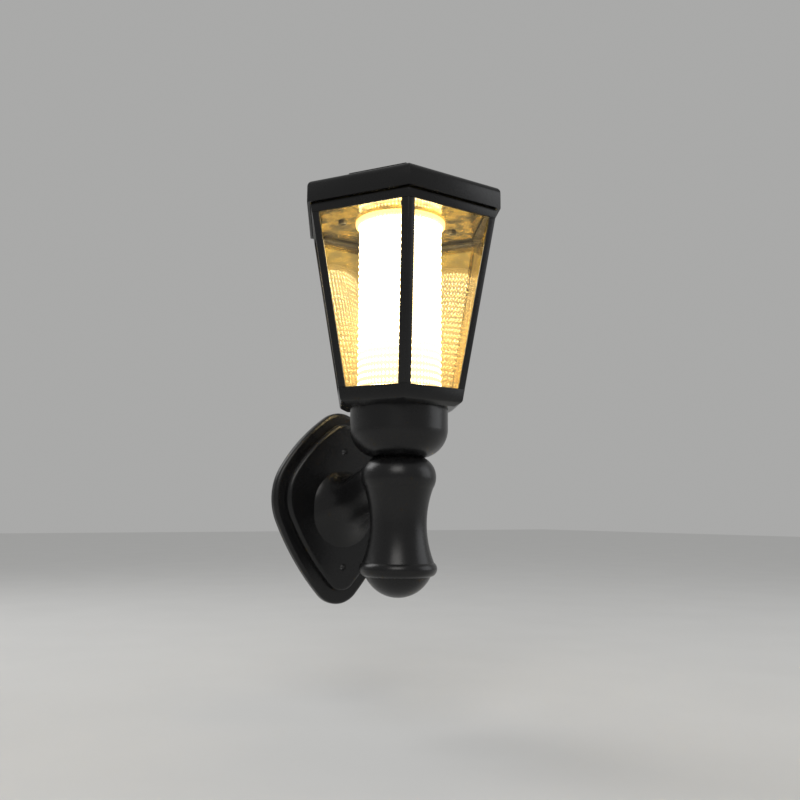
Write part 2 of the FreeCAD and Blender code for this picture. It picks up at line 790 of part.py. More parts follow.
def light_tube():
    """Clear tube ribbed with prism rings under a rounded flange, hung from the ceiling plate."""
    body = new_body("light_tube")
    inner = "Size.tube_radius - Size.tube_wall"
    flange_foot = f"{SEAT} - Size.tube_flange_height"
    turned(
        body, "tube",
        [
            (inner, SEAT),
            (inner, "Size.tube_foot"),
            *ring_corners(),
            ("Size.tube_radius - Size.ring_depth", flange_foot),
            ("Size.tube_flange_radius", f"{flange_foot} + Size.tube_flange_round"),
            ("Size.tube_flange_radius", f"{SEAT} - Size.tube_flange_round"),
            ("Size.tube_flange_radius - Size.tube_flange_round / 3", SEAT),
        ],
    )
    return body


def led_board():
    """Round board for the light-emitting diodes, on the ceiling plate inside the tube."""
    body = new_body("led_board")
    foot = f"{SEAT} - Size.led_board_thickness"
    disc(body, "board", "Size.led_board_radius", foot, "Size.led_board_thickness")
    return body


def led_lamps():
    """Four diodes with tapered tips that shine down the tube."""
    body = new_body("led_lamps")
    sketch = new_sketch(body, "lamp_places", offset=f"{SEAT} - Size.led_board_thickness")
    for k in range(4):
        circle(
            sketch, "Size.led_radius",
            f"Size.led_circle * cos({45 + 90 * k})", f"Size.led_circle * sin({45 + 90 * k})",
        )
    lamps = pad(body, "lamps", sketch, "Size.led_length", flip=True)
    DOCUMENT.recompute()
    foot = number(f"{SEAT} - Size.led_board_thickness - Size.led_length")
    rims = [
        f"Edge{k}" for k, edge in enumerate(lamps.Shape.Edges, start=1)
        if all(abs(vertex.Point.z - foot) < 0.01 for vertex in edge.Vertexes)
    ]
    tips = body.newObject("PartDesign::Chamfer", "tips")
    tips.Base = (lamps, rims)
    tips.setExpression("Size", "Size.led_radius / 2")
    body.Tip = tips
    return body


def battery_holder():
    """Open tray on the ceiling plate for two cells side by side."""
    body = new_body("battery_holder")
    floor = f"{SEAT} + Size.ceiling_thickness"
    sketch = new_sketch(body, "tray_outline", offset=floor)
    rectangle(
        sketch, f"{CELL_ROOM_LENGTH} + 2 * Size.holder_wall", f"{CELL_ROOM_WIDTH} + 2 * Size.holder_wall"
    )
    pad(body, "tray", sketch, "Size.holder_height")
    room = new_sketch(body, "tray_room", offset=f"{floor} + Size.holder_wall")
    rectangle(room, CELL_ROOM_LENGTH, CELL_ROOM_WIDTH)
    pad(body, "room", room, "Size.holder_height", cut=True, flip=True)
    return body


def battery_cells():
    """Two round cells lying along X in the holder."""
    body = new_body("battery_cells")
    level = f"{SEAT} + Size.ceiling_thickness + Size.holder_wall + Size.cell_radius"
    cans = new_sketch(body, "cans", plane="YZ_Plane", offset="-Size.cell_length / 2")
    nubs = new_sketch(body, "nubs", plane="YZ_Plane", offset="Size.cell_length / 2")
    for side in (1, -1):
        circle(cans, "Size.cell_radius", f"{side} * (Size.cell_radius + Size.cell_play / 2)", level)
        circle(nubs, "Size.cell_nub_radius", f"{side} * (Size.cell_radius + Size.cell_play / 2)", level)
    pad(body, "can", cans, "Size.cell_length")
    pad(body, "nub", nubs, "Size.cell_nub_height")
    return body


def circuit_board():
    """Charging board beside the battery holder."""
    body = new_body("circuit_board")
    sketch = new_sketch(body, "board_outline", offset=f"{SEAT} + Size.ceiling_thickness")
    rectangle(sketch, "Size.circuit_length", "Size.circuit_width", "Size.circuit_side", "-Size.circuit_back")
    pad(body, "board", sketch, "Size.circuit_thickness")
    return body


# ---- the switch --------------------------------------------------------------------------------------------


def switch_body():
    """Housing of the slide switch, above the slot in the ceiling plate."""
    body = new_body("switch_body")
    floor = f"{SEAT} + Size.ceiling_thickness"
    centre = "Size.switch_side + Size.slider_travel / 2"
    outer = new_sketch(body, "housing_outline", offset=floor)
    rectangle(outer, "Size.switch_length", "Size.switch_width", centre, "Size.switch_back")
    pad(body, "housing", outer, "Size.switch_height")
    room = new_sketch(body, "slider_room", offset=floor)
    rectangle(
        room, "(Size.slider_length + Size.slider_travel + 2 * Size.slider_play)",
        "(Size.slider_width + 2 * Size.slider_play)", centre, "Size.switch_back",
    )
    pad(body, "room", room, "Size.switch_height - 1.5", cut=True, flip=True)
    return body


def switch_slider():
    """The knob of the slide switch, reaching down through the ceiling plate."""
    body = new_body("switch_slider")
    sketch = new_sketch(body, "knob_outline", offset=f"{SEAT} - Size.slider_drop")
    rectangle(sketch, "Size.slider_length", "Size.slider_width", "Size.switch_side", "Size.switch_back")
    height = "Size.slider_drop + Size.ceiling_thickness + Size.switch_height - 1.5 - Size.slider_play"
    pad(body, "knob", sketch, height)
    return body


# ---- build, check and write ----------------------------------------------------------------------------


def check_document():
    """Stops if any object failed or any solid is not sound."""
    for item in DOCUMENT.Objects:
        if "Invalid" in item.State or "Error" in item.State:
            raise RuntimeError(f"{item.Name} failed: {item.State}")


def write_parts(bodies):
    """Writes each sub-part to its own file, named by its label."""
    os.makedirs("parts", exist_ok=True)
    for body in bodies:
        shape = body.Shape
        if shape.isNull() or not shape.isValid():
            raise RuntimeError(f"{body.Label} has no sound shape")
        shape.exportStep(os.path.join("parts", f"{body.Label}.step"))
        box = shape.BoundBox
        print(
            f"{body.Label:16s} solids {len(shape.Solids)} volume {shape.Volume:10.1f} "
            f"x {box.XMin:7.1f}..{box.XMax:7.1f} y {box.YMin:7.1f}..{box.YMax:7.1f} "
            f"z {box.ZMin:7.1f}..{box.ZMax:7.1f}"
        )


def main():
    """Builds every sub-part in order from the wall outwards and upwards."""
    bodies = [wall_plate(), arm_screws(), bracket_arm(), finial(), tie_rod(), bowl(), base_pan()]
    bodies += [rod_washer(), rod_nut()]
    bodies += [corner_bar(index) for index in range(SIDES)]
    bodies += [pane(index) for index in range(SIDES)]
    bodies += [top_ring(), head_gasket()]
    bodies += [roof_shell(), solar_panel(), ceiling_plate(), ceiling_screws(), light_tube()]
    bodies += [led_board(), led_lamps(), battery_holder(), battery_cells(), circuit_board()]
    bodies += [switch_body(), switch_slider()]
    DOCUMENT.recompute()
    check_document()
    write_parts(bodies)


main()
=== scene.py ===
"""Looks for a hexagonal wall lantern: finishes, rounded edges, the ribbed light tube and the studio.

Everything is in metres in the row frame: +Z up, the wall at Y = 0, the lantern stands towards -Y.
"""

import logging
import math
from dataclasses import dataclass, field
from enum import Enum
from typing import Callable, Iterable, Optional, Protocol, Sequence, Union

import bmesh
import bpy
from mathutils import Matrix, Vector


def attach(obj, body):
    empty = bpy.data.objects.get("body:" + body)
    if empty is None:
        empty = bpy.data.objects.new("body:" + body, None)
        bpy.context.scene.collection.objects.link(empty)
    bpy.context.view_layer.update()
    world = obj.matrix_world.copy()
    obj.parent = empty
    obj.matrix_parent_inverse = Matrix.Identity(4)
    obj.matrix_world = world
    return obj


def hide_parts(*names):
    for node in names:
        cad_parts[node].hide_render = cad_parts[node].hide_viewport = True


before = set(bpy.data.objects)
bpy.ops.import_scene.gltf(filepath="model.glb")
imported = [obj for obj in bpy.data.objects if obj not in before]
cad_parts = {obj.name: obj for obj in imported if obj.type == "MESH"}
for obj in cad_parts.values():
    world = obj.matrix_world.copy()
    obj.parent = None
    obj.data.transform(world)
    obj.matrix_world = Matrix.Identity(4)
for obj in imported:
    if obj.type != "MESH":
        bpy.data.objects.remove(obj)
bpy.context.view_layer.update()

LOG = logging.getLogger("lantern")

# Levels and sizes that a finish and a shape share.
AXIS_Y = -0.090  # the lantern's upright axis stands at X = 0 and this Y
GLASS_FOOT = 0.085  # lower edge of the panes that shows
TUBE_FOOT = 0.0880
TUBE_RING_PITCH = 0.0050
TUBE_FLUTES = 68

TINY = 0.00001  # slack when faces and edges are picked by their place, and when points are merged

Colour = tuple[float, float, float, float]
Number = Union[float, "Wire"]
Owner = Union[bpy.types.Material, bpy.types.World]

BLACK: Colour = (0.0, 0.0, 0.0, 1.0)
WHITE: Colour = (1.0, 1.0, 1.0, 1.0)


# ---- shader trees --------------------------------------------------------------------------------


class Wire:
    """An output socket of a shader tree; arithmetic on it adds Math nodes."""

    def __init__(self, tree: "Tree", socket: bpy.types.NodeSocket) -> None:
        """Keeps the tree and the socket.

        Args:
            tree: The tree that the socket is in.
            socket: The output socket.
        """
        self.tree = tree
        self.socket = socket

    def maths(self, operation: str, *others: Number) -> "Wire":
        """Adds one Math node.

        Args:
            operation: The Math node's operation.
            others: The operands after this one.

        Returns:
            The node's output.
        """
        operands = dict(enumerate((self, *others)))
        return self.tree.wire("ShaderNodeMath", {"operation": operation}, operands)

    def __add__(self, other: Number) -> "Wire":
        """Sum."""
        return self.maths("ADD", other)

    def __radd__(self, other: Number) -> "Wire":
        """Sum, reflected."""
        return self.maths("ADD", other)

    def __sub__(self, other: Number) -> "Wire":
        """Difference."""
        return self.maths("SUBTRACT", other)

    def __rsub__(self, other: Number) -> "Wire":
        """Difference, reflected."""
        return self.maths("MULTIPLY", -1.0).maths("ADD", other)

    def __mul__(self, other: Number) -> "Wire":
        """Product."""
        return self.maths("MULTIPLY", other)

    def __rmul__(self, other: Number) -> "Wire":
        """Product, reflected."""
        return self.maths("MULTIPLY", other)

    def __pow__(self, other: Number) -> "Wire":
        """Power."""
        return self.maths("POWER", other)

    def step(self, low: float, high: float) -> "Wire":
        """A smooth step from 0 at low to 1 at high.

        Args:
            low: Where the step starts.
            high: Where it ends.

        Returns:
            The step.
        """
        return self.tree.wire(
            "ShaderNodeMapRange", {"interpolation_type": "SMOOTHSTEP"}, {0: self, 1: low, 2: high}
        )

    def wave(self, pitch: float) -> "Wire":
        """Distance to the nearest multiple of a pitch.

        Args:
            pitch: The distance from one multiple to the next.

        Returns:
            0 on a multiple, 1 halfway between two.
        """
        return self.maths("PINGPONG", pitch / 2.0) * (2.0 / pitch)


class Tree:
    """A material's or a world's shader tree."""

    def __init__(self, owner: Owner) -> None:
        """Empties the owner's tree.

        Args:
            owner: The material or the world.
        """
        self.owner = owner
        owner.use_nodes = True
        self.nodes = owner.node_tree.nodes
        self.links = owner.node_tree.links
        self.nodes.clear()

    @classmethod
    def material(cls, name: str) -> "Tree":
        """Starts a new material of a name."""
        return cls(bpy.data.materials.new(name))

    def feed(self, socket: bpy.types.NodeSocket, value: object) -> None:
        """Links or sets one input socket.

        Args:
            socket: The input socket.
            value: A wire to link, or a value to set.
        """
        if isinstance(value, Wire):
            self.links.new(value.socket, socket)
        else:
            socket.default_value = value

    def node(
        self, kind: str, settings: Optional[dict] = None, inputs: Optional[dict] = None
    ) -> bpy.types.Node:
        """Adds a node.

        Args:
            kind: The node's type.
            settings: Its own settings.
            inputs: Values or wires by input name or index.

        Returns:
            The node.
        """
        node = self.nodes.new(kind)
        for key, value in (settings or {}).items():
            setattr(node, key, value)
        for key, value in (inputs or {}).items():
            self.feed(node.inputs[key], value)
        return node

    def wire(
        self, kind: str, settings: Optional[dict] = None, inputs: Optional[dict] = None,
        output: Union[int, str] = 0,
    ) -> Wire:
        """Adds a node and takes one of its outputs.

        Args:
            kind: The node's type.
            settings: Its own settings.
            inputs: Values or wires by input name or index.
            output: The output's name or index.

        Returns:
            The output.
        """
        return Wire(self, self.node(kind, settings, inputs).outputs[output])

    def place(self) -> Wire:
        """Object coordinates, which are the row frame in metres."""
        return self.wire("ShaderNodeTexCoord", output="Object")

    def xyz(self) -> tuple[Wire, Wire, Wire]:
        """The three object coordinates as numbers."""
        split = self.node("ShaderNodeSeparateXYZ", None, {0: self.place()})
        return tuple(Wire(self, output) for output in split.outputs)

    def facing_up(self) -> Wire:
        """How far the surface faces up, from -1 to 1."""
        normal = self.wire("ShaderNodeNewGeometry", output="Normal")
        return self.wire("ShaderNodeSeparateXYZ", None, {0: normal}, 2)

    def noise(
        self, scale: float, detail: float = 3.0, rough: float = 0.5,
        stretch: tuple[float, float, float] = (1.0, 1.0, 1.0),
    ) -> Wire:
        """A noise value on object coordinates.

        Args:
            scale: Features per metre.
            detail: Octaves.
            rough: How strong the finer octaves are.
            stretch: Scale of each axis before the noise.

        Returns:
            The noise, around 0.5.
        """
        mapped = self.wire("ShaderNodeMapping", None, {"Vector": self.place(), "Scale": stretch})
        inputs = {"Vector": mapped, "Scale": scale, "Detail": detail, "Roughness": rough}
        return self.wire("ShaderNodeTexNoise", None, inputs, "Fac")

    def mix(self, factor: Number, low: Union[Colour, Wire], high: Union[Colour, Wire]) -> Wire:
        """Mixes two colours.

        Args:
            factor: 0 for low, 1 for high.
            low: Colour at 0.
            high: Colour at 1.

        Returns:
            The mixed colour.
        """
        return self.wire("ShaderNodeMix", {"data_type": "RGBA"}, {0: factor, 6: low, 7: high}, 2)

    def blend(self, factor: Number, low: Wire, high: Wire) -> Wire:
        """Mixes two shaders.

        Args:
            factor: 0 for low, 1 for high.
            low: Shader at 0.
            high: Shader at 1.

        Returns:
            The mixed shader.
        """
        return self.wire("ShaderNodeMixShader", None, {0: factor, 1: low, 2: high})

    def bump(self, height: Wire, distance: float, strength: float = 1.0) -> Wire:
        """Adds a Bump node.

        Args:
            height: The height, in units of the distance.
            distance: How high 1 is, in metres.
            strength: How much of it is used.

        Returns:
            The normal.
        """
        return self.wire(
            "ShaderNodeBump", None, {"Height": height, "Distance": distance, "Strength": strength}
        )

    def principled(self, **inputs: object) -> Wire:
        """Adds a Principled shader.

        Args:
            inputs: Its inputs by name, with an underscore for each space.

        Returns:
            The shader.
        """
        named = {key.replace("_", " "): value for key, value in inputs.items()}
        return self.wire("ShaderNodeBsdfPrincipled", None, named)

    def output(self, shader: Wire) -> Owner:
        """Sends a shader to the output.

        Args:
            shader: The finished shader.

        Returns:
            The material or world that the tree belongs to.
        """
        world = isinstance(self.owner, bpy.types.World)
        self.node("ShaderNodeOutputWorld" if world else "ShaderNodeOutputMaterial", None, {0: shader})
        return self.owner


# ---- finishes ------------------------------------------------------------------------------------


class Finish(Protocol):
    """Anything that builds a material."""

    def make(self) -> bpy.types.Material:
        """Builds the material."""


@dataclass(frozen=True)
class BlackCoat:
    """Satin black powder coat with fine orange peel, faint cloudiness and dust on top."""

    colour: Colour = (0.0048, 0.0048, 0.0051, 1.0)
    dust: Colour = (0.06, 0.055, 0.045, 1.0)
    dust_cover: float = 0.35
    roughness: float = 0.27
    dust_roughness: float = 0.3
    peel_height: float = 0.00004
    ior: float = 1.40

    def make(self) -> bpy.types.Material:
        """Builds the coat: black with settled dust, a clouded gloss and fine orange peel.

        Returns:
            The material.
        """
        tree = Tree.material("black_coat")
        cloud = tree.noise(34.0, 4.0, 0.6)
        grain = tree.noise(2600.0, 2.0, 0.5)
        patches = tree.noise(160.0, 5.0, 0.7).step(0.42, 0.75)
        settled = tree.facing_up().step(0.55, 1.0) * patches * self.dust_cover
        colour = tree.mix(settled, self.colour, self.dust)
        rough = self.roughness + (cloud - 0.5) * 0.16 + (grain - 0.5) * 0.06 + settled * self.dust_roughness
        normal = tree.bump(grain + cloud * 0.5, self.peel_height)
        return tree.output(
            tree.principled(Base_Color=colour, Roughness=rough, Normal=normal, IOR=self.ior)
        )


@dataclass(frozen=True)
class ClearPane:
    """Clear acrylic sheet with a soft ripple; its warm tint and its golden film over dust specks, thicker
    downwards, are painted glow of the lit tube.
    """

    # painted glow: the warm tint and the golden film stand in for the tube's light in the panes
    painted_glow_tint: Colour = (0.945, 0.865, 0.635, 1.0)
    film: Colour = (0.86, 0.56, 0.13, 1.0)
    painted_glow_top: float = 0.008
    painted_glow_foot: float = 0.075
    painted_glow_height: float = 0.100
    dust_cover: float = 0.05
    ripple_height: float = 0.0002
    shine: float = 0.05

    def make(self) -> bpy.types.Material:
        """Builds the pane: a clear sheet tinted with painted glow, glossier towards its edge-on angles,
        under a golden film of painted glow over dust.

        Returns:
            The material.
        """
        tree = Tree.material("clear_pane")
        _, _, height = tree.xyz()
        # painted glow: the golden film is thickest at the foot of the panes and lies over the dust specks
        rise = height.step(GLASS_FOOT, GLASS_FOOT + self.painted_glow_height)
        low = (1.0 - rise) * (self.painted_glow_foot - self.painted_glow_top)
        dust = tree.noise(90.0, 6.0, 0.75).step(0.45, 0.8) * self.dust_cover + low + self.painted_glow_top
        ripple = tree.bump(tree.noise(26.0, 1.0, 0.4), self.ripple_height, 0.08)
        clear = tree.wire("ShaderNodeBsdfTransparent", None, {"Color": self.painted_glow_tint})
        glare = tree.wire(
            "ShaderNodeBsdfGlossy", None, {"Color": WHITE, "Roughness": 0.0, "Normal": ripple}
        )
        facing = tree.wire("ShaderNodeLayerWeight", None, {"Blend": 0.5}, "Facing")
        gloss = facing ** 5.0 * (1.0 - self.shine) + self.shine
        # painted glow: a golden diffuse layer that stands in for the tube's light scattered in the pane
        glow_haze = tree.principled(Base_Color=self.film, Roughness=0.9)
        return tree.output(tree.blend(dust, tree.blend(gloss, clear, glare), glow_haze))


@dataclass(frozen=True)
class LitPrism:
    """Moulded lens plastic lit from inside: a bright spot in every prism, softer at foot and flange."""

    glow: Colour = (1.0, 0.96, 0.97, 1.0)
    flange_glow: Colour = (1.0, 0.82, 0.46, 1.0)
    resin: Colour = (0.72, 0.6, 0.4, 1.0)
    strength: float = 60.0
    groove: float = 0.062
    spot_edge: tuple[float, float] = (0.28, 0.88)
    foot_level: float = 0.46
    foot_fade: tuple[float, float] = (GLASS_FOOT + 0.003, GLASS_FOOT + 0.060)
    flange_level: float = 0.041
    flange_fade: tuple[float, float] = (0.2097, 0.2113)
    roughness: float = 0.16
    ior: float = 1.49

    def make(self) -> bpy.types.Material:
        """Builds the lens: its glow follows height, ring and flute, under a smooth moulded skin.

        Returns:
            The material.
        """
        tree = Tree.material("lit_prism")
        x, y, height = tree.xyz()
        ring = (height - TUBE_FOOT).wave(TUBE_RING_PITCH)
        flute = (y - AXIS_Y).maths("ARCTAN2", x).wave(2.0 * math.pi / TUBE_FLUTES)
        spot = (ring * flute).step(*self.spot_edge)
        full = height.step(*self.foot_fade)
        flange = height.step(*self.flange_fade)
        prisms = self.groove + spot * (1.0 - self.groove)
        level = (self.foot_level + full * (1.0 - self.foot_level)) * prisms
        level = level * (1.0 - flange) + flange * self.flange_level
        light = tree.mix(level, BLACK, tree.mix(flange, self.glow, self.flange_glow))
        normal = tree.bump(tree.noise(700.0, 2.0), 0.00003)
        return tree.output(
            tree.principled(
                Base_Color=self.resin, Roughness=self.roughness, IOR=self.ior, Normal=normal,
                Emission_Color=light, Emission_Strength=self.strength,
            )
        )


@dataclass(frozen=True)
class CeilingMetal:
    """Metallised plastic that mirrors the tube, mottled and gently waved; its gold colour is painted warm
    glow of the lit tube.
    """

    # painted glow: the gold stands in for the tube's warm light falling on the ceiling
    colour: Colour = (0.43, 0.33, 0.07, 1.0)
    dull: Colour = (0.07, 0.05, 0.012, 1.0)
    mottle_edge: tuple[float, float] = (0.40, 0.58)
    wave_height: float = 0.0009

    def make(self) -> bpy.types.Material:
        """Builds the ceiling: gold of painted warm glow with dull mottles, waved so that the mirrored tube
        breaks up.

        Returns:
            The material.
        """
        tree = Tree.material("ceiling_metal")
        mottle = tree.noise(75.0, 5.0, 0.7)
        speck = tree.noise(420.0, 3.0, 0.6)
        colour = tree.mix(mottle.step(*self.mottle_edge), self.dull, self.colour)
        rough = 0.05 + (1.0 - mottle) * 0.16 + speck * 0.05
        normal = tree.bump(tree.noise(55.0, 2.0, 0.5) + speck * 0.04, self.wave_height, 0.6)
        return tree.output(tree.principled(Base_Color=colour, Metallic=1.0, Roughness=rough, Normal=normal))


@dataclass(frozen=True)
class Steel:
    """Blackened steel with fine turning marks and patches of grime."""

    colour: Colour = (0.10, 0.095, 0.085, 1.0)
    grime: Colour = (0.03, 0.026, 0.02, 1.0)
    mark_depth: float = 0.00002

    def make(self) -> bpy.types.Material:
        """Builds the steel: turning marks, and grime that dulls it in patches.

        Returns:
            The material.
        """
        tree = Tree.material("blackened_steel")
        dirt = tree.noise(500.0, 4.0, 0.7).step(0.45, 0.75)
        marks = tree.noise(2400.0, 2.0, 0.5, (1.0, 1.0, 0.2))
        colour = tree.mix(dirt * 0.5, self.colour, self.grime)
        normal = tree.bump(marks, self.mark_depth)
        rough = 0.26 + dirt * 0.25 + marks * 0.08
        return tree.output(tree.principled(Base_Color=colour, Metallic=0.95, Roughness=rough, Normal=normal))


@dataclass(frozen=True)
class Moulded:
    """Moulded plastic or rubber in one colour with a fine spark-eroded grain."""

    name: str
    colour: Colour
    shade: Colour
    roughness: float = 0.5
    grain: float = 1500.0
    grain_depth: float = 0.00004

    def make(self) -> bpy.types.Material:
        """Builds the plastic or rubber: two close tones under a fine grain.

        Returns:
            The material.
        """
        tree = Tree.material(self.name)
        fine = tree.noise(self.grain, 3.0, 0.6)
        broad = tree.noise(70.0, 4.0, 0.6)
        colour = tree.mix(broad.step(0.35, 0.7) * 0.7, self.colour, self.shade)
        rough = self.roughness + (fine - 0.5) * 0.2 + (broad - 0.5) * 0.1
        normal = tree.bump(fine, self.grain_depth)
        return tree.output(tree.principled(Base_Color=colour, Roughness=rough, Normal=normal))


@dataclass(frozen=True)
class SolarCells:
    """Blue-black cells under clear resin, with pale fingers, bus bars and gaps."""

    cell: Colour = (0.006, 0.012, 0.045, 1.0)
    facet: Colour = (0.012, 0.03, 0.11, 1.0)
    line: Colour = (0.45, 0.46, 0.48, 1.0)
    gap: Colour = (0.02, 0.02, 0.022, 1.0)
    bezel: Colour = (0.008, 0.008, 0.009, 1.0)
    cell_width: float = 0.0130
    cell_length: float = 0.0260
    finger_pitch: float = 0.0016
    finger_cover: float = 0.35
    bus_cover: float = 0.85
    glass_reach: float = 0.0336
    margin: float = 0.0014
    flats: tuple[float, ...] = (30.0, 150.0)
    ripple_height: float = 0.0002

    def make(self) -> bpy.types.Material:
        """Builds the panel: crystals, fingers and bus bars, then the gaps, the margin and the bezel.

        Returns:
            The material.
        """
        tree = Tree.material("solar_cells")
        x, y, _ = tree.xyz()
        out = y - AXIS_Y
        crystal = tree.wire(
            "ShaderNodeTexVoronoi", None, {"Vector": tree.place(), "Scale": 300.0}, "Color"
        )
        tone = tree.wire("ShaderNodeSeparateColor", None, {0: crystal})
        colour = tree.mix(tone, self.cell, self.facet)
        finger = 1.0 - out.wave(self.finger_pitch).step(0.06, 0.16)
        bus = 1.0 - (x + self.cell_width / 2.0).wave(self.cell_width).step(0.06, 0.12)
        colour = tree.mix(finger * self.finger_cover, colour, self.line)
        colour = tree.mix(bus * self.bus_cover, colour, self.line)
        gap_x = 1.0 - x.wave(self.cell_width).step(0.05, 0.09)
        gap_y = 1.0 - out.wave(self.cell_length).step(0.025, 0.045)
        reach = out.maths("ABSOLUTE")
        for turn in (math.radians(flat) for flat in self.flats):
            reach = reach.maths("MAXIMUM", (x * math.cos(turn) + out * math.sin(turn)).maths("ABSOLUTE"))
        cells_end = self.glass_reach - self.margin
        edge = reach.step(cells_end, cells_end + 0.0002)
        colour = tree.mix(gap_x.maths("MAXIMUM", gap_y).maths("MAXIMUM", edge), colour, self.gap)
        rim = reach.step(self.glass_reach - 0.0001, self.glass_reach + 0.0001)
        colour = tree.mix(rim, colour, self.bezel)
        film = tree.noise(120.0, 5.0, 0.7)
        normal = tree.bump(film, self.ripple_height, 0.2)
        return tree.output(
            tree.principled(
                Base_Color=colour, Roughness=0.12 + film * 0.15 + rim * 0.3, Coat_Weight=1.0 - rim,
                Coat_Roughness=0.05, Normal=normal,
            )
        )


class Slot(Enum):
    """The record's material slots."""

    BLACK_COAT = "black_coat"
    CLEAR_PANE = "clear_pane"
    PRISM = "prism"
    CEILING = "ceiling"
    STEEL = "steel"
    GASKET = "gasket"
    SOLAR_CELL = "solar_cell"
    BOARD = "board"
    LAMP = "lamp"
    BLACK_PLASTIC = "black_plastic"
    CELL_WRAP = "cell_wrap"
    WHITE_PLASTIC = "white_plastic"


FINISHES: dict[Slot, Finish] = {
    Slot.BLACK_COAT: BlackCoat(),
    Slot.CLEAR_PANE: ClearPane(),
    Slot.PRISM: LitPrism(),
    Slot.CEILING: CeilingMetal(),
    Slot.STEEL: Steel(),
    Slot.GASKET: Moulded("gasket_rubber", (0.018, 0.018, 0.018, 1), (0.03, 0.03, 0.03, 1), 0.75),
    Slot.SOLAR_CELL: SolarCells(),
    Slot.BOARD: Moulded("board_green", (0.01, 0.12, 0.04, 1), (0.02, 0.2, 0.07, 1), 0.35, 900.0),
    Slot.LAMP: Moulded("lamp_resin", (0.9, 0.75, 0.35, 1), (1.0, 0.85, 0.5, 1), 0.2, 500.0),
    Slot.BLACK_PLASTIC: Moulded("black_plastic", (0.015, 0.015, 0.016, 1), (0.03, 0.03, 0.03, 1), 0.5),
    Slot.CELL_WRAP: Moulded("cell_wrap", (0.05, 0.28, 0.10, 1), (0.09, 0.36, 0.14, 1), 0.3, 400.0),
    Slot.WHITE_PLASTIC: Moulded("white_plastic", (0.72, 0.71, 0.67, 1), (0.6, 0.58, 0.52, 1), 0.45),
}


def make_finishes() -> dict[Slot, bpy.types.Material]:
    """Builds one material for each slot.

    Returns:
        The materials by slot.
    """
    return {slot: finish.make() for slot, finish in FINISHES.items()}


# ---- modelling -----------------------------------------------------------------------------------


SHARP_EDGE = 25.0  # degrees, above which a bevel rounds an edge
SMOOTH_EDGE = 32.0  # degrees, up to which the shading runs on across an edge
WHOLE_FACE = 0.5  # degrees, up to which the facets of one flat face are joined
WHOLE_POINT = 0.000002  # metres, within which a CAD mesh's points are one


class Element(Enum):
    """What a selection is made of."""

    VERTEX = "VERT"
    EDGE = "EDGE"
    FACE = "FACE"


